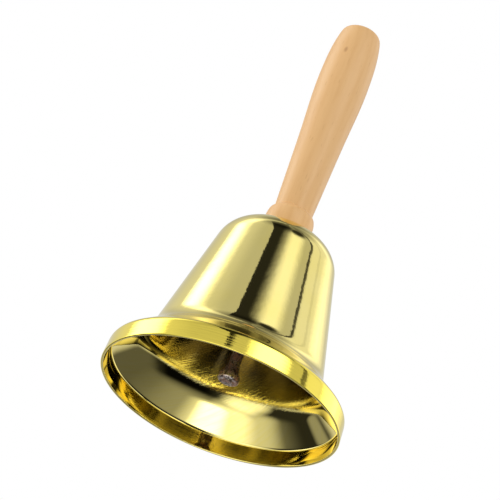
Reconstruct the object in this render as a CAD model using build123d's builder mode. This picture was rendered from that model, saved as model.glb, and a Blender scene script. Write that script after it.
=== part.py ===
from build123d import *
import math
import os

# Hand bell. Millimetres. z = 0 is the plane of the mouth and +Z runs up the axis to the handle's end.
# The clapper swings in the XZ plane on the eye screw, and in the YZ plane on the link.

# Bell shell: one pressed sheet, described by where the straight runs of its outside meet
mouth_radius = 45.0
wall = 1.0
band_height = 7.2
band_inset = 0.4
waist_radius = 33.0
waist_height = 16.6
crown_radius = 20.6
crown_height = 72.0
shoulder_round = 2.6
waist_round = 12.0
crown_round = 13.0
rim_round = 0.25

# Handle: one turned piece of wood, heights counted from the crown
handle_length = 95.0
foot_radius = 8.3
bead_radius = 9.25
bead_height = 4.6
bead_top_radius = 8.1
bead_top_height = 9.4
neck_radius = 7.25
neck_height = 10.2
grip_middle_radius = 8.65
grip_middle_height = 45.0
grip_radius = 9.75
grip_height = 71.0
neck_slope = 0.045
end_radius = 7.3
end_slope = 0.28
end_dome = 0.5
end_round = 2.8
neck_round = 1.0
bore_depth = 30.0

# Fasteners under the crown
screw_radius = 2.0
screw_in_wood = 26.0
screw_point = 1.6
hole_clearance = 0.25
washer_radius = 7.0
washer_thickness = 1.0
lock_washer_radius = 3.8
lock_washer_thickness = 1.0
lock_washer_gap = 0.9
nut_across_flats = 7.0
nut_height = 3.2
nut_chamfer = 0.5

# Eye of the screw, in the YZ plane
eye_inner_radius = 2.6
eye_wire_radius = 1.5
eye_drop = 8.8

# Link, in the XZ plane, and how freely the looped pieces hang in each other
link_wire_radius = 0.9
link_inner_length = 12.0
loop_clearance = 0.3

# Clapper: a round stem with a flattened, drilled top, and a button riveted on its lower end
stem_radius = 2.1
tang_thickness = 2.0
tang_hole_radius = 1.7
tang_border = 1.6
tang_neck = 4.5
clapper_end_height = 9.0
head_overhang = 1.9
head_thickness = 3.0
head_round = 0.8
collar_height = 2.6
collar_top_wall = 0.4
collar_foot_wall = 0.9
rivet_height = 0.35
rivet_round = 0.3

# Heights that follow from the sizes above
handle_top = crown_height + handle_length
washer_top = crown_height - wall
lock_washer_top = washer_top - washer_thickness
nut_top = lock_washer_top - lock_washer_thickness
nut_bottom = nut_top - nut_height
eye_ring_radius = eye_inner_radius + eye_wire_radius
eye_height = nut_bottom - eye_drop
link_pivot_height = eye_height - eye_ring_radius
link_inside_radius = eye_wire_radius + loop_clearance
link_bend_radius = link_inside_radius + link_wire_radius
link_run = link_inner_length - 2 * link_inside_radius
clapper_pivot_height = link_pivot_height - link_run - link_bend_radius
bend_rise = link_inside_radius - math.sqrt(link_inside_radius**2 - (tang_thickness / 2) ** 2)
tang_hole_top = clapper_pivot_height + link_wire_radius + bend_rise + loop_clearance
tang_hole_height = tang_hole_top - tang_hole_radius
tang_radius = tang_hole_radius + tang_border
tang_foot_height = tang_hole_height - tang_radius
stem_top = tang_foot_height - tang_neck
head_radius = stem_radius + head_overhang


# Bell shell: the outside outline, filled past the rim and past the axis, less the same outline drawn
# in by the wall, and trimmed to the half between the crown hole and the rim
with BuildPart() as bell_shell:
    overrun = 2 * wall
    rim_slope = band_inset / band_height
    with BuildSketch(Plane.XZ):
        with BuildLine():
            Polyline(
                (-overrun, crown_height),
                (crown_radius, crown_height),
                (waist_radius, waist_height),
                (mouth_radius - band_inset, band_height),
                (mouth_radius + rim_slope * overrun, -overrun),
                (-overrun, -overrun),
                close=True,
            )
        make_face()
        bends = vertices().filter_by(lambda v: v.X > 0 and v.Y > 0).sort_by(Axis.Y)
        fillet(bends[0], shoulder_round)
        bends = vertices().filter_by(lambda v: abs(v.X - waist_radius) < 1e-4)
        fillet(bends, waist_round)
        bends = vertices().filter_by(lambda v: abs(v.X - crown_radius) < 1e-4)
        fillet(bends, crown_round)
        offset(amount=-wall, mode=Mode.SUBTRACT)
        with Locations((screw_radius + hole_clearance, 0)):
            Rectangle(2 * mouth_radius, handle_top, align=(Align.MIN, Align.MIN), mode=Mode.INTERSECT)
    revolve(axis=Axis.Z)
    fillet(edges().group_by(Axis.Z)[0], rim_round)
bell_shell.part.label = "bell_shell"

# Handle: turned, with a blind pilot bore for the eye screw in its foot
with BuildPart() as handle:
    with BuildSketch(Plane.XZ):
        with BuildLine():
            Line((0, crown_height), (foot_radius, crown_height))
            ThreePointArc(
                (foot_radius, crown_height),
                (bead_radius, crown_height + bead_height),
                (bead_top_radius, crown_height + bead_top_height),
            )
            Line(
                (bead_top_radius, crown_height + bead_top_height),
                (neck_radius, crown_height + neck_height),
            )
            Spline(
                (neck_radius, crown_height + neck_height),
                (grip_middle_radius, crown_height + grip_middle_height),
                (grip_radius, crown_height + grip_height),
                (end_radius, handle_top - end_dome),
                tangents=((neck_slope, 1), (-end_slope, 1)),
            )
            ThreePointArc(
                (end_radius, handle_top - end_dome),
                (end_radius / 2, handle_top - end_dome / 4),
                (0, handle_top),
            )
            Line((0, handle_top), (0, crown_height))
        make_face()
    revolve(axis=Axis.Z)
    rings = edges().filter_by(GeomType.CIRCLE)
    fillet(rings.filter_by(lambda ring: abs(ring.radius - end_radius) < 1e-3), end_round)
    rings = edges().filter_by(GeomType.CIRCLE)
    fillet(rings.filter_by(lambda ring: abs(ring.radius - neck_radius) < 1e-3), neck_round)
    with BuildSketch(Plane.XY.offset(crown_height)):
        Circle(screw_radius)
    extrude(amount=bore_depth, mode=Mode.SUBTRACT)
handle.part.label = "handle"

# Eye screw: a straight shank with a turned point, and a closed eye below the nut
with BuildPart() as hanger_eye:
    eye_top = eye_height + eye_ring_radius
    with BuildSketch(Plane.XY.offset(eye_top)):
        Circle(screw_radius)
    extrude(amount=crown_height + screw_in_wood - eye_top)
    chamfer(edges().group_by(Axis.Z)[-1], screw_point)
    with Locations((0, 0, eye_height)):
        Torus(eye_ring_radius, eye_wire_radius, rotation=(0, 90, 0))
hanger_eye.part.label = "hanger_eye"

# Plain washer under the crown
with BuildPart() as crown_washer:
    with BuildSketch(Plane.XY.offset(lock_washer_top)):
        Circle(washer_radius)
        Circle(screw_radius + hole_clearance, mode=Mode.SUBTRACT)
    extrude(amount=washer_thickness)
crown_washer.part.label = "crown_washer"

# Split spring washer, pressed flat
with BuildPart() as lock_washer:
    with BuildSketch(Plane.XY.offset(nut_top)):
        Circle(lock_washer_radius)
        Circle(screw_radius + hole_clearance, mode=Mode.SUBTRACT)
        Rectangle(
            2 * lock_washer_radius,
            lock_washer_gap,
            align=(Align.MIN, Align.CENTER),
            mode=Mode.SUBTRACT,
        )
    extrude(amount=lock_washer_thickness)
lock_washer.part.label = "lock_washer"

# Hexagon nut, its corners turned off at both ends
with BuildPart() as hex_nut:
    corner_radius = nut_across_flats / math.sqrt(3)
    with BuildSketch(Plane.XY.offset(nut_bottom)):
        RegularPolygon(radius=corner_radius, side_count=6)
    extrude(amount=nut_height)
    with BuildSketch(Plane.XZ):
        with BuildLine():
            Polyline(
                (0, nut_bottom),
                (corner_radius - nut_chamfer, nut_bottom),
                (corner_radius, nut_bottom + nut_chamfer / 2),
                (corner_radius, nut_top - nut_chamfer / 2),
                (corner_radius - nut_chamfer, nut_top),
                (0, nut_top),
                close=True,
            )
        make_face()
    revolve(axis=Axis.Z, mode=Mode.INTERSECT)
    with BuildSketch(Plane.XY.offset(nut_bottom)):
        Circle(screw_radius)
    extrude(amount=nut_height, mode=Mode.SUBTRACT)
hex_nut.part.label = "hex_nut"

# Oval link: its upper bend turns about the eye's lowest wire
with BuildPart() as chain_link:
    lower_bend_height = link_pivot_height - link_run
    with BuildLine(Plane.XZ) as link_route:
        Line((link_bend_radius, lower_bend_height), (link_bend_radius, link_pivot_height))
        ThreePointArc(
            (link_bend_radius, link_pivot_height),
            (0, link_pivot_height + link_bend_radius),
            (-link_bend_radius, link_pivot_height),
        )
        Line((-link_bend_radius, link_pivot_height), (-link_bend_radius, lower_bend_height))
        ThreePointArc(
            (-link_bend_radius, lower_bend_height),
            (0, lower_bend_height - link_bend_radius),
            (link_bend_radius, lower_bend_height),
        )
    with BuildSketch(Plane.XY.offset(lower_bend_height)):
        with Locations((link_bend_radius, 0)):
            Circle(link_wire_radius)
    sweep(path=link_route.wire())
chain_link.part.label = "chain_link"

# Clapper stem: round below, flattened into the YZ plane and drilled along X at its top
with BuildPart() as clapper_stem:
    stem_end = clapper_end_height - rivet_height
    with BuildSketch(Plane.XY.offset(stem_end)):
        Circle(stem_radius)
    extrude(amount=stem_top - stem_end)
    fillet(edges().group_by(Axis.Z)[0], rivet_round)
    with BuildSketch(Plane.XY.offset(stem_top)):
        Circle(stem_radius)
    with BuildSketch(Plane.XY.offset(tang_foot_height)):
        Rectangle(tang_thickness, 2 * tang_radius)
    loft()
    with BuildSketch(Plane.YZ):
        with Locations((0, tang_hole_height)):
            Circle(tang_radius)
            Rectangle(2 * tang_radius, tang_radius, align=(Align.CENTER, Align.MAX))
            Circle(tang_hole_radius, mode=Mode.SUBTRACT)
    extrude(amount=tang_thickness / 2, both=True)
clapper_stem.part.label = "clapper_stem"

# Clapper head: a button with a short cone above it, riveted on the stem
with BuildPart() as clapper_head:
    head_top = clapper_end_height + head_thickness
    with BuildSketch(Plane.XZ):
        with BuildLine():
            Polyline(
                (stem_radius, clapper_end_height),
                (head_radius, clapper_end_height),
                (head_radius, head_top),
                (stem_radius + collar_foot_wall, head_top),
                (stem_radius + collar_top_wall, head_top + collar_height),
                (stem_radius, head_top + collar_height),
                close=True,
            )
        make_face()
        rim_corners = vertices().filter_by(lambda v: abs(v.X - head_radius) < 1e-4)
        fillet(rim_corners, head_round)
    revolve(axis=Axis.Z)
clapper_head.part.label = "clapper_head"

os.makedirs("parts", exist_ok=True)
export_step(bell_shell.part, "parts/bell_shell.step")
export_step(handle.part, "parts/handle.step")
export_step(hanger_eye.part, "parts/hanger_eye.step")
export_step(crown_washer.part, "parts/crown_washer.step")
export_step(lock_washer.part, "parts/lock_washer.step")
export_step(hex_nut.part, "parts/hex_nut.step")
export_step(chain_link.part, "parts/chain_link.step")
export_step(clapper_stem.part, "parts/clapper_stem.step")
export_step(clapper_head.part, "parts/clapper_head.step")
print("link turns about Y at z =", round(link_pivot_height, 4))
print("clapper turns about X at z =", round(clapper_pivot_height, 4))
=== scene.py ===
import bpy
import math
from mathutils import Matrix, Vector


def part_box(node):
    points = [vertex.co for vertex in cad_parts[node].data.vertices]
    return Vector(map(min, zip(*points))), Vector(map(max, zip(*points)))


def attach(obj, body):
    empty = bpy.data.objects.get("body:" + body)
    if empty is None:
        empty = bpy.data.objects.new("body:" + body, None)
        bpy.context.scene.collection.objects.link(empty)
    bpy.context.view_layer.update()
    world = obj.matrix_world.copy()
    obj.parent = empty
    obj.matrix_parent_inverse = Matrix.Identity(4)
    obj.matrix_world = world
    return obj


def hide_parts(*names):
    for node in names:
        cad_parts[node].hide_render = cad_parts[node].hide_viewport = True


# Hand bell with a turned wooden handle: gold-plated shell, steel fittings, a linked clapper inside.
# Metres, in the frame of the CAD model: z = 0 is the plane of the mouth, +Z runs up the axis.

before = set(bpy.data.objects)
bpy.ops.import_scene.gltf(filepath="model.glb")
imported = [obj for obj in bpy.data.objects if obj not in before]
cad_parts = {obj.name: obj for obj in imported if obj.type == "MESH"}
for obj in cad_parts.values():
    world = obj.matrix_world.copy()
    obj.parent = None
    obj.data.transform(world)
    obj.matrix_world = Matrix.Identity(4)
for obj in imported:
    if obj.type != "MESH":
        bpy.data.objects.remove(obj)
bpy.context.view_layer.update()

mm = 0.001
deg = math.radians(1)
shell_low, shell_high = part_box("bell_shell")
handle_low, handle_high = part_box("handle")
mouth_radius = shell_high.x
crown_height = shell_high.z
handle_top = handle_high.z

# Bell shell, as in the CAD model: where the straight runs of its outside meet, and how they are rounded
wall = 1.0 * mm
band_height = 7.2 * mm
band_inset = 0.4 * mm
waist_radius = 33.0 * mm
waist_height = 16.6 * mm
crown_radius = 20.6 * mm
crown_hole_radius = 2.25 * mm
shoulder_round = 2.6 * mm
waist_round = 12.0 * mm
crown_round = 13.0 * mm
rim_round = 0.35 * mm

# Handle, heights counted from the crown
foot_radius = 8.3 * mm
bead_radius = 9.25 * mm
bead_height = 4.6 * mm
bead_top_radius = 8.1 * mm
bead_top_height = 9.4 * mm
neck_radius = 7.25 * mm
neck_height = 10.2 * mm
grip_middle_radius = 8.65 * mm
grip_middle_height = 45.0 * mm
grip_radius = 9.75 * mm
grip_height = 71.0 * mm
end_radius = 7.3 * mm
end_dome = 0.5 * mm
end_round = 2.8 * mm
bore_radius = 2.0 * mm
bore_depth = 30.0 * mm
neck_step = 0.25 * mm
neck_drop = 0.1 * mm
side_gap = 0.2 * mm
bead_steps = 24
dome_steps = 8
grip_steps = 48
shell_turns = 256
handle_turns = 128
longest_run = 1.5 * mm


# Meshes ------------------------------------------------------------------------------------------

def corner_arc(before, corner, after, radius, step=4 * deg):
    """Points of the arc that rounds a corner, from the run before it to the run after it."""
    back = (before - corner).normalized()
    ahead = (after - corner).normalized()
    half_turn = (math.pi - back.angle(ahead)) / 2
    centre = corner + (back + ahead).normalized() * radius / math.cos(half_turn)
    start = corner + back * radius * math.tan(half_turn) - centre
    side = 1 if back.x * ahead.y - back.y * ahead.x < 0 else -1
    count = max(3, round(2 * half_turn / step))
    turns = [side * 2 * half_turn * index / count for index in range(count + 1)]
    return [centre + Matrix.Rotation(turn, 2) @ start for turn in turns]


def rounded(corners, longest):
    """An outline through corners given as (radius, height, rounding), with no run over a length."""
    places = [Vector(corner[:2]) for corner in corners]
    line = [places[0]]
    for index in range(1, len(places)):
        if index == len(places) - 1 or corners[index][2] == 0:
            bend = [places[index]]
        else:
            bend = corner_arc(*places[index - 1:index + 2], corners[index][2])
        run = bend[0] - line[-1]
        count = max(1, math.ceil(run.length / longest))
        line += [line[-1] + run * share / count for share in range(1, count)]
        line += bend
    return line


def inset(corners, distance):
    """The corners of the same outline moved to its right hand side, the roundings kept concentric."""
    places = [Vector(corner[:2]) for corner in corners]
    moved = []
    for index, place in enumerate(places):
        runs = []
        if index > 0:
            runs.append((place - places[index - 1]).normalized())
        if index < len(places) - 1:
            runs.append((places[index + 1] - place).normalized())
        normals = [Vector((run.y, -run.x)) for run in runs]
        middle = sum(normals, Vector((0, 0))).normalized()
        place = place + middle * distance / middle.dot(normals[0])
        turn = runs[0].cross(runs[-1])
        change = distance if turn > 0 else -distance
        moved.append((place.x, place.y, max(0, corners[index][2] + change) if turn else 0))
    return moved


on_axis = 0.001 * mm
sharp_angle = 35 * deg


def lathe(name, outline, turns, closed=False):
    """A mesh turned about Z from (radius, height) points. Points on the axis become single vertices."""
    vertices, rings, faces = [], [], []
    for point in outline:
        first = len(vertices)
        if point.x < on_axis:
            vertices.append((0, 0, point.y))
            rings.append([first] * turns)
            continue
        for index in range(turns):
            angle = 2 * math.pi * index / turns
            vertices.append((point.x * math.cos(angle), point.x * math.sin(angle), point.y))
        rings.append(list(range(first, first + turns)))
    pairs = list(zip(rings, rings[1:]))
    if closed:
        pairs.append((rings[-1], rings[0]))
    for upper, lower in pairs:
        for index in range(turns):
            following = (index + 1) % turns
            loop = [upper[index], lower[index], lower[following], upper[following]]
            faces.append(list(dict.fromkeys(loop)))
    mesh = bpy.data.meshes.new(name)
    mesh.from_pydata(vertices, [], faces)
    mesh.shade_smooth()
    mesh.set_sharp_from_angle(angle=sharp_angle)
    piece = bpy.data.objects.new(name, mesh)
    bpy.context.scene.collection.objects.link(piece)
    return piece


def make_shell():
    """The pressed shell. The faces that look towards the axis take the second material."""
    outside = [
        (crown_hole_radius, crown_height, 0),
        (crown_radius, crown_height, crown_round),
        (waist_radius, waist_height, waist_round),
        (mouth_radius - band_inset, band_height, shoulder_round),
        (mouth_radius, 0, 0),
    ]
    inside = inset(outside, wall)
    inside[0] = (crown_hole_radius, crown_height - wall, 0)
    slope = band_inset / band_height
    inside[-1] = (mouth_radius - wall * math.hypot(1, slope), 0, rim_round)
    outside[-1] = (mouth_radius, 0, rim_round)
    corners = outside + inside[::-1]
    outline = rounded(corners, longest=longest_run)
    piece = lathe("gold_shell", outline, turns=shell_turns, closed=True)
    for face in piece.data.polygons:
        face.material_index = int(face.normal.xy.dot(face.center.xy) < 0)
    return piece


def grip_outline():
    """Points of the grip from the neck to the end: cubic runs through the four stations."""
    stations = [
        (neck_radius, neck_height),
        (grip_middle_radius, grip_middle_height),
        (grip_radius, grip_height),
        (end_radius, handle_top - crown_height - end_dome),
    ]
    slopes = [0.045, 0.047, -0.012, -0.28]
    line = []
    for index in range(len(stations) - 1):
        (r0, h0), (r1, h1) = stations[index], stations[index + 1]
        rise = h1 - h0
        for step in range(grip_steps):
            share = step / grip_steps
            a = (1 + 2 * share) * (1 - share) ** 2
            b = share * (1 - share) ** 2
            c = share ** 2 * (3 - 2 * share)
            d = share ** 2 * (share - 1)
            radius = a * r0 + c * r1 + rise * (b * slopes[index] + d * slopes[index + 1])
            line.append(Vector((radius, crown_height + h0 + share * rise)))
    return line


def make_handle():
    """The turned handle: a bead at its foot, the swelling grip and a rounded, slightly domed end."""
    foot = [Vector((bore_radius, crown_height)), Vector((foot_radius, crown_height))]
    for step in range(1, bead_steps):
        height = bead_top_height * step / bead_steps
        if height < bead_height:
            base = foot_radius
            reach = bead_height
        else:
            base = bead_top_radius
            reach = bead_top_height - bead_height
        share = (height - bead_height) / reach
        radius = base + (bead_radius - base) * math.sqrt(max(0, 1 - share ** 2))
        foot.append(Vector((radius, crown_height + height)))
    neck = [
        Vector((bead_top_radius, crown_height + bead_top_height)),
        Vector((neck_radius + neck_step, crown_height + neck_height - neck_drop)),
    ]
    grip = grip_outline()
    end_corner = Vector((end_radius, handle_top - end_dome))
    cut = handle_top - end_dome - end_round
    side = [point for point in grip if point.y < cut]
    bend = corner_arc(side[-1], end_corner, Vector((0, handle_top)), end_round)
    side = [point for point in side if point.y < bend[0].y - side_gap]
    dome = []
    for step in range(1, dome_steps + 1):
        radius = bend[-1].x * (1 - step / dome_steps)
        height = handle_top - end_dome * (radius / end_radius) ** 2
        dome.append(Vector((radius, height)))
    bore = [Vector((0, crown_height + bore_depth)), Vector((bore_radius, crown_height + bore_depth))]
    return lathe("turned_handle", bore + foot + neck + side + bend + dome, turns=handle_turns)


# Node trees --------------------------------------------------------------------------------------

class Tree:
    """Short forms for building a node tree."""

    def __init__(self, tree):
        self.tree = tree
        tree.nodes.clear()

    def node(self, kind, inputs=None, **settings):
        made = self.tree.nodes.new(kind)
        for name, value in settings.items():
            setattr(made, name, value)
        for name, value in (inputs or {}).items():
            self.put(made.inputs[name], value)
        return made

    def put(self, socket, value):
        if isinstance(value, bpy.types.NodeSocket):
            self.tree.links.new(value, socket)
        else:
            socket.default_value = value

    def math(self, operation, first, second=0.0, third=0.0):
        made = self.tree.nodes.new("ShaderNodeMath")
        made.operation = operation
        for socket, value in zip(made.inputs, (first, second, third)):
            self.put(socket, value)
        return made.outputs[0]

    def step(self, value, start, end, low=0.0, high=1.0):
        """Runs smoothly from low to high as a value goes from start to end."""
        made = self.tree.nodes.new("ShaderNodeMapRange")
        made.interpolation_type = "SMOOTHSTEP"
        for name, number in zip(("Value", "From Min", "From Max", "To Min", "To Max"),
                                (value, start, end, low, high)):
            self.put(made.inputs[name], number)
        return made.outputs["Result"]

    def xyz(self, x, y, z):
        return self.node("ShaderNodeCombineXYZ", {"X": x, "Y": y, "Z": z}).outputs[0]

    def parts(self, vector):
        split = self.node("ShaderNodeSeparateXYZ", {"Vector": vector})
        return split.outputs["X"], split.outputs["Y"], split.outputs["Z"]

    def noise(self, vector, scale, detail=2.0, roughness=0.5, distortion=0.0):
        return self.node("ShaderNodeTexNoise", {
            "Vector": vector,
            "Scale": scale,
            "Detail": detail,
            "Roughness": roughness,
            "Distortion": distortion,
        }).outputs["Fac"]

    def blend(self, share, first, second):
        made = self.node("ShaderNodeMix", data_type="RGBA", blend_type="MIX")
        self.put(made.inputs["Factor"], share)
        self.put(made.inputs["A"], first)
        self.put(made.inputs["B"], second)
        return made.outputs["Result"]

    def scaled(self, x, y, z, across, up):
        """A point with its x and y multiplied by one number and its z by another."""
        return self.xyz(self.math("MULTIPLY", x, across), self.math("MULTIPLY", y, across),
                        self.math("MULTIPLY", z, up))

    def bump(self, height, depth, normal=None):
        made = self.node("ShaderNodeBump", {"Height": height, "Distance": depth, "Strength": 1.0})
        if normal is not None:
            self.put(made.inputs["Normal"], normal)
        return made.outputs["Normal"]


def material(name):
    """A new material's tree, its shader and the object coordinates."""
    made = bpy.data.materials.new(name)
    made.use_nodes = True
    tree = Tree(made.node_tree)
    shader = tree.node("ShaderNodeBsdfPrincipled")
    output = tree.node("ShaderNodeOutputMaterial")
    tree.put(output.inputs["Surface"], shader.outputs["BSDF"])
    place = tree.node("ShaderNodeTexCoord").outputs["Object"]
    return made, tree, shader, place


def around_axis(tree, place):
    """The way round the axis, as x and y on a unit circle, and the height."""
    x, y, z = tree.parts(place)
    reach = tree.math("SQRT", tree.math("ADD", tree.math("MULTIPLY", x, x), tree.math("MULTIPLY", y, y)))
    return tree.math("DIVIDE", x, reach), tree.math("DIVIDE", y, reach), z


# Noise is as fine as a number of cells per metre, or per turn where it runs round the axis. Bumps have a
# depth in metres.
gold_pale = (0.90, 0.78, 0.30, 1)
gold_yellow = (0.90, 0.76, 0.23, 1)
gold_deep = (0.90, 0.74, 0.12, 1)
# The last colour here is painted shade: it darkens the inside of the cone, deep in the bell.
gold_painted_shade = (0.50, 0.43, 0.27, 1)
cloud_cells = 60
dent_cells = 300
dent_depth = 30e-6
haze_cells = 240
band_ring_cells = (2.2, 1500)
band_ring_depth = 42e-6


def gold_outside():
    """Mirror plating: turning rings on the band, a slight unevenness of the pressed sheet all over."""
    made, tree, shader, place = material("gold_plate_outside")
    across, along, z = around_axis(tree, place)
    cloud = tree.noise(place, cloud_cells, detail=3)
    shade = tree.blend(tree.step(cloud, 0.35, 0.7, 0, 0.5), gold_pale, gold_yellow)
    on_flare = tree.step(z, waist_height + 2 * mm, band_height)
    shade = tree.blend(on_flare, shade, gold_deep)
    on_band = tree.step(z, band_height + 1.5 * mm, band_height - 0.5 * mm)
    rings = tree.noise(tree.scaled(across, along, z, *band_ring_cells), 1.0, detail=2)
    dents = tree.noise(place, dent_cells, detail=3, roughness=0.6)
    uneven = tree.bump(dents, dent_depth)
    normal = tree.bump(tree.math("MULTIPLY", rings, on_band), band_ring_depth, uneven)
    haze = tree.noise(place, haze_cells, detail=5, roughness=0.7)
    tree.put(shader.inputs["Base Color"], shade)
    tree.put(shader.inputs["Metallic"], 1.0)
    tree.put(shader.inputs["Roughness"], tree.step(haze, 0.3, 0.8, 0.03, 0.07))
    tree.put(shader.inputs["Normal"], normal)
    return made


draw_mark_cells = (34, 160)
draw_mark_twist = 40.0
draw_mark_depth = 60e-6
inner_ring_cells = (3, 1300)
inner_ring_depth = 6e-6
ripple_cells = 150
ripple_depth = 7e-6


def gold_inside():
    """The same plating inside: a smooth flare, and a cone with draw marks, strongest at the waist, with
    painted shade that darkens the cone's colour deep in the bell.
    """
    made, tree, shader, place = material("gold_plate_inside")
    across, along, z = around_axis(tree, place)
    on_cone = tree.step(z, waist_height - 3 * mm, waist_height + 3 * mm)
    on_band = tree.step(z, band_height - 0.5 * mm, band_height - 2 * mm)
    near_waist = tree.step(z, waist_height + 18 * mm, waist_height + 4 * mm, 0.25, 1.0)
    cone_shade_mask = tree.step(z, waist_height + 4 * mm, waist_height + 14 * mm)
    twist = tree.math("MULTIPLY", z, draw_mark_twist)
    spiral = tree.node("ShaderNodeVectorRotate", {"Vector": tree.xyz(across, along, 0.0), "Angle": twist},
                       rotation_type="Z_AXIS").outputs[0]
    spiral_x, spiral_y = tree.parts(spiral)[:2]
    drawn = tree.noise(tree.scaled(spiral_x, spiral_y, z, *draw_mark_cells), 1.0, detail=4, roughness=0.65)
    rings = tree.noise(tree.scaled(across, along, z, *inner_ring_cells), 1.0, detail=2)
    ripple = tree.noise(place, ripple_cells, detail=3)
    height = tree.math("MULTIPLY", drawn, on_cone)
    height = tree.math("MULTIPLY", height, near_waist)
    normal = tree.bump(height, draw_mark_depth, tree.bump(ripple, ripple_depth))
    normal = tree.bump(tree.math("MULTIPLY", rings, on_band), inner_ring_depth, normal)
    shade = tree.blend(tree.step(drawn, 0.35, 0.7, 0, 0.7), gold_pale, gold_yellow)
    # Painted shade: the colour darkens over the cone, deep inside the bell.
    shade = tree.blend(cone_shade_mask, shade, gold_painted_shade)
    tree.put(shader.inputs["Base Color"], shade)
    tree.put(shader.inputs["Metallic"], 1.0)
    tree.put(shader.inputs["Roughness"], tree.step(drawn, 0.3, 0.8, 0.025, 0.05))
    tree.put(shader.inputs["Normal"], normal)
    return made


wood_pale = (0.82, 0.50, 0.225, 1)
wood_warm = (0.76, 0.43, 0.175, 1)
wood_fleck = (0.56, 0.28, 0.10, 1)
wood_knot = (0.40, 0.17, 0.06, 1)
growth_ring = 2.6 * mm
ring_wander = 9.0
grain_stretch = 0.06
grain_cells = 900
grain_depth = 12e-6
fleck_stretch = 0.16
fleck_cells = 1500
blotch_cells = 70
knot_place = (-3.7 * mm, -8.4 * mm, 152.1 * mm)
knot_size = 1.0 * mm
knot_stretch = 0.5


def wood():
    """Pale close-grained wood under a satin lacquer: growth rings, long grain, short flecks, one knot."""
    made, tree, shader, place = material("turned_wood")
    x, y, z = tree.parts(place)
    stretched = tree.scaled(x, y, z, 1.0, grain_stretch)
    wander = tree.noise(stretched, 90, detail=3)
    pith = tree.math("ADD", tree.math("MULTIPLY", x, 0.8), tree.math("MULTIPLY", y, 0.6))
    phase = tree.math("ADD", tree.math("MULTIPLY", pith, 2 * math.pi / growth_ring),
                      tree.math("MULTIPLY", wander, ring_wander))
    rings = tree.step(tree.math("SINE", phase), -1.0, 1.0)
    grain = tree.noise(stretched, grain_cells, detail=4, roughness=0.65)
    blotch = tree.noise(place, blotch_cells, detail=2)
    tone = tree.math("ADD", tree.math("MULTIPLY", rings, 0.12), tree.math("MULTIPLY", grain, 0.55))
    tone = tree.math("ADD", tone, tree.math("MULTIPLY", blotch, 0.35))
    shade = tree.blend(tree.step(tone, 0.35, 0.95), wood_pale, wood_warm)
    short = tree.noise(tree.scaled(x, y, z, 1.0, fleck_stretch), fleck_cells, detail=1)
    shade = tree.blend(tree.step(short, 0.66, 0.78, 0, 0.28), shade, wood_fleck)
    away = tree.node("ShaderNodeVectorMath", {0: place, 1: knot_place}, operation="SUBTRACT").outputs[0]
    away = tree.scaled(*tree.parts(away), 1.0, knot_stretch)
    distance = tree.node("ShaderNodeVectorMath", {0: away}, operation="LENGTH").outputs["Value"]
    knot = tree.step(distance, knot_size, 0.3 * knot_size, 0, 0.55)
    shade = tree.blend(knot, shade, wood_knot)
    tree.put(shader.inputs["Base Color"], shade)
    tree.put(shader.inputs["Roughness"], tree.step(grain, 0.2, 0.8, 0.42, 0.52))
    tree.put(shader.inputs["Normal"], tree.bump(grain, grain_depth))
    tree.put(shader.inputs["Coat Weight"], 0.12)
    tree.put(shader.inputs["Coat Roughness"], 0.28)
    tree.put(shader.inputs["Specular IOR Level"], 0.3)
    return made


zinc_pale = (0.70, 0.69, 0.66, 1)
zinc_grey = (0.48, 0.47, 0.45, 1)
mottle_cells = 900
mottle_depth = 6e-6


def zinc():
    """Bright zinc on steel, with a faint crystal mottle."""
    made, tree, shader, place = material("zinc_plate")
    mottle = tree.noise(place, mottle_cells, detail=4, roughness=0.6)
    shade = tree.blend(tree.step(mottle, 0.3, 0.75), zinc_pale, zinc_grey)
    tree.put(shader.inputs["Base Color"], shade)
    tree.put(shader.inputs["Metallic"], 1.0)
    tree.put(shader.inputs["Roughness"], tree.step(mottle, 0.2, 0.8, 0.22, 0.42))
    tree.put(shader.inputs["Normal"], tree.bump(mottle, mottle_depth))
    return made


nickel_pale = (0.66, 0.60, 0.57, 1)
nickel_brown = (0.42, 0.22, 0.16, 1)
nickel_pit = (0.06, 0.04, 0.035, 1)
brown_patch_cells = 260
pit_cells = 1300
pit_depth = 80e-6


def nickel():
    """Nickel on the clapper: pale plating, dark pits and patches of brown that are less metallic."""
    made, tree, shader, place = material("mottled_nickel")
    brown_patch = tree.noise(place, brown_patch_cells, detail=3, roughness=0.6)
    pits = tree.noise(place, pit_cells, detail=3, roughness=0.65)
    shade = tree.blend(tree.step(brown_patch, 0.42, 0.60), nickel_pale, nickel_brown)
    shade = tree.blend(tree.step(pits, 0.47, 0.55, 0, 0.9), shade, nickel_pit)
    tree.put(shader.inputs["Base Color"], shade)
    tree.put(shader.inputs["Metallic"], tree.step(brown_patch, 0.42, 0.60, 1.0, 0.5))
    tree.put(shader.inputs["Roughness"], tree.step(pits, 0.3, 0.7, 0.18, 0.45))
    tree.put(shader.inputs["Normal"], tree.bump(pits, pit_depth))
    return made


# Studio ------------------------------------------------------------------------------------------

# The light of the tent, in degrees. Azimuth 0 is -Y, where the camera stands, and azimuth 90 is +X.
# Upright strips of its wall: azimuth, half width of the even part, half width where it ends, strength
wall_strips = [
    (-100, 20, 56, 0.20),
    (-99, 3, 26, 1.15),
    (28, 5, 26, 0.62),
    (107, 30, 45, 0.36),
    (126, 2, 14, 0.35),
    (68, 1.8, 4.0, -0.60),
    (93, 1.0, 4.0, -0.15),
]
# Round lamps: azimuth, elevation, radius of the even part, radius where it ends, strength
wall_lamps = [
    (-99, 28, 6, 22, 2.4),
    (28, 28, 8, 22, 2.4),
    (110, 27, 4, 18, 1.0),
]
floor_lamps = [
    (-15, -78, 4, 26, 0.8),
    (8, -75, 3, 13, 2.0),
    (-36, -26, 4, 36, 1.3),
    (-24, -50, 4, 26, 0.5),
    (-76, -62, 4, 23, 0.45),
    (134, -30, 8, 32, 0.09),
    (176, -32, 8, 22, 0.40),
    (-139, -26, 2, 9, 0.3),
]
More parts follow.
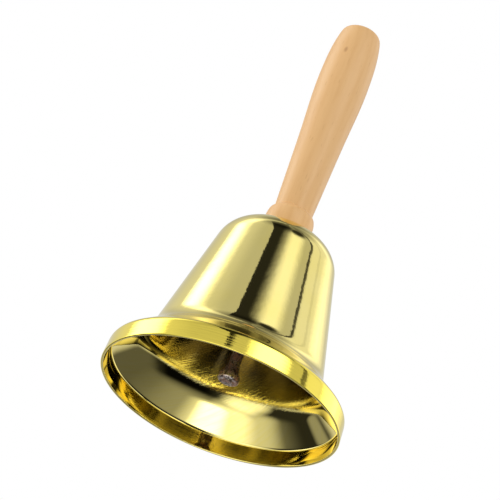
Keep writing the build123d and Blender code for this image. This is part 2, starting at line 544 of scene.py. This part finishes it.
# Dark things in the tent: the camera's front, a flag beside the slot, and the stand under the bell
lens = (8, -14, 9, 17)
flag = (34, 66, 4, 13)
stand = (52, 30, 50, 0.90)
slot_azimuth = -12 * deg
darkest = 0.96


class Tent(Tree):
    """The world's tree, with the direction of a ray split into the parts that the light goes by."""

    def __init__(self, tree):
        super().__init__(tree)
        self.direction = self.node("ShaderNodeTexCoord").outputs["Generated"]
        self.x, self.y, self.z = self.parts(self.direction)
        self.azimuth = self.math("ARCTAN2", self.x, self.math("MULTIPLY", self.y, -1.0))

    def strip(self, azimuth, core, fade, strength):
        """A strength on an upright strip of the wall, zero beside it."""
        gap = self.math("SUBTRACT", self.azimuth, azimuth * deg)
        gap = self.math("ABSOLUTE", self.math("WRAP", gap, math.pi, -math.pi))
        return self.step(gap, core * deg, fade * deg, strength, 0.0)

    def patch(self, azimuth, elevation, core, fade):
        """One inside a round patch, zero outside it."""
        level = math.cos(elevation * deg)
        centre = (level * math.sin(azimuth * deg), -level * math.cos(azimuth * deg),
                  math.sin(elevation * deg))
        closeness = self.node("ShaderNodeVectorMath", {0: self.direction, 1: centre},
                              operation="DOT_PRODUCT")
        return self.step(closeness.outputs["Value"], math.cos(fade * deg), math.cos(core * deg))

    def lit(self, light, lamps):
        """The light with round lamps added."""
        for azimuth, elevation, core, fade, strength in lamps:
            lamp = self.patch(azimuth, elevation, core, fade)
            light = self.math("MULTIPLY_ADD", lamp, strength, light)
        return light

    def slot(self):
        """One in the dark slot overhead, which widens upwards and has a soft right hand edge."""
        towards = (math.cos(slot_azimuth), math.sin(slot_azimuth))
        sideways = self.math("ADD", self.math("MULTIPLY", self.x, towards[0]),
                             self.math("MULTIPLY", self.y, towards[1]))
        forwards = self.math("SUBTRACT", self.math("MULTIPLY", self.x, towards[1]),
                             self.math("MULTIPLY", self.y, towards[0]))
        half_width = self.math("MAXIMUM", self.math("MULTIPLY_ADD", self.z, 0.50, -0.228), 0.045)
        share = self.math("DIVIDE", sideways, half_width)
        dark = self.math("MULTIPLY", self.step(share, -1.06, -0.94), self.step(share, 1.6, 0.1))
        dark = self.math("MULTIPLY", dark, self.step(forwards, 0.02, 0.30))
        return self.math("MULTIPLY", dark, self.step(self.z, 0.47, 0.50))

    def upper(self):
        """Light from the wall and the ceiling."""
        light = self.step(self.z, 0.66, 0.46, 0.56, 0.70)
        for strip in wall_strips:
            light = self.math("ADD", light, self.strip(*strip))
        light = self.lit(light, wall_lamps)
        ceiling = self.step(self.z, 0.82, 0.99, 1.0, 0.30)
        dark = self.math("MAXIMUM", self.patch(*lens), self.patch(*flag))
        dark = self.math("MULTIPLY", self.math("MAXIMUM", self.slot(), dark), darkest)
        return self.math("MULTIPLY", self.math("MULTIPLY", light, ceiling), self.math("SUBTRACT", 1.0, dark))

    def lower(self):
        """Light from below the mouth."""
        light = self.lit(self.step(self.z, -0.60, -0.99, 0.025, 0.36), floor_lamps)
        dark = self.math("MULTIPLY", self.strip(*stand), self.step(self.z, -0.74, -0.60))
        return self.math("MULTIPLY", light, self.math("SUBTRACT", 1.0, dark))


def studio():
    """A white tent seen in the plating. The camera itself sees an even white backdrop."""
    world = bpy.data.worlds.new("studio")
    world.use_nodes = True
    bpy.context.scene.world = world
    tree = Tent(world.node_tree)
    light = tree.node("ShaderNodeMix", data_type="FLOAT")
    tree.put(light.inputs["Factor"], tree.step(tree.z, -0.36, -0.22))
    tree.put(light.inputs["A"], tree.lower())
    tree.put(light.inputs["B"], tree.upper())
    strength = light.outputs["Result"]
    tent = tree.node("ShaderNodeBackground", {"Color": (1.0, 0.995, 0.97, 1), "Strength": strength})
    backdrop = tree.node("ShaderNodeBackground", {"Color": (1, 1, 1, 1), "Strength": 1.0})
    seen = tree.node("ShaderNodeLightPath").outputs["Is Camera Ray"]
    mixed = tree.node("ShaderNodeMixShader", {0: seen, 1: tent.outputs[0], 2: backdrop.outputs[0]})
    output = tree.node("ShaderNodeOutputWorld")
    tree.put(output.inputs["Surface"], mixed.outputs[0])
    world.cycles.sampling_method = "MANUAL"
    world.cycles.sample_map_resolution = 1024


floor_radius = 6.0


def make_floor():
    """A pale floor at the height of the rim, clear from below and far away, where the backdrop shows."""
    bpy.ops.mesh.primitive_circle_add(vertices=96, radius=floor_radius, fill_type="NGON")
    floor = bpy.context.object
    floor.name = "floor"
    made = bpy.data.materials.new("pale_floor")
    made.use_nodes = True
    tree = Tree(made.node_tree)
    paper = tree.node("ShaderNodeBsdfDiffuse", {"Color": (0.93, 0.93, 0.92, 1)})
    clear = tree.node("ShaderNodeBsdfTransparent")
    geometry = tree.node("ShaderNodeNewGeometry")
    reach = tree.node("ShaderNodeVectorMath", {0: geometry.outputs["Position"]}, operation="LENGTH")
    away = tree.step(reach.outputs["Value"], 0.5, 2.4)
    unseen = tree.math("MAXIMUM", geometry.outputs["Backfacing"], away)
    mixed = tree.node("ShaderNodeMixShader", {0: unseen, 1: paper.outputs[0], 2: clear.outputs[0]})
    output = tree.node("ShaderNodeOutputMaterial")
    tree.put(output.inputs["Surface"], mixed.outputs[0])
    floor.data.materials.append(made)
    floor.visible_diffuse = False
    floor.visible_glossy = False
    floor.visible_transmission = False
    floor.visible_shadow = False


def make_camera():
    """Looks up into the mouth from below the rim, with the bell leaning to the right in the frame."""
    elevation = -27.75 * deg
    roll = 21.52 * deg
    distance = 0.935
    aim = Vector((-9.75 * mm, 0, 61.6 * mm))
    back = Vector((0, -math.cos(elevation), math.sin(elevation)))
    across = Vector((1, 0, 0))
    level = Matrix((across, back.cross(across), back)).transposed()
    camera = bpy.data.objects.new("camera", bpy.data.cameras.new("camera"))
    camera.data.lens = 184.0
    camera.data.sensor_width = 36.0
    camera.matrix_world = Matrix.Translation(aim + back * distance) @ (
        level @ Matrix.Rotation(roll, 3, "Z")).to_4x4()
    bpy.context.scene.collection.objects.link(camera)
    bpy.context.scene.camera = camera


make_camera()
studio()
make_floor()
bpy.context.scene.view_settings.view_transform = "Standard"

shell = make_shell()
shell.data.materials.append(gold_outside())
shell.data.materials.append(gold_inside())
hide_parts("bell_shell")
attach(shell, "bell")

handle = make_handle()
handle.data.materials.append(wood())
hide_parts("handle")
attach(handle, "bell")

zinc_plate = zinc()
mottled_nickel = nickel()
for name in ("hanger_eye", "crown_washer", "lock_washer", "hex_nut", "chain_link"):
    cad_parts[name].material_slots[0].material = zinc_plate
for name in ("clapper_stem", "clapper_head"):
    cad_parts[name].material_slots[0].material = mottled_nickel
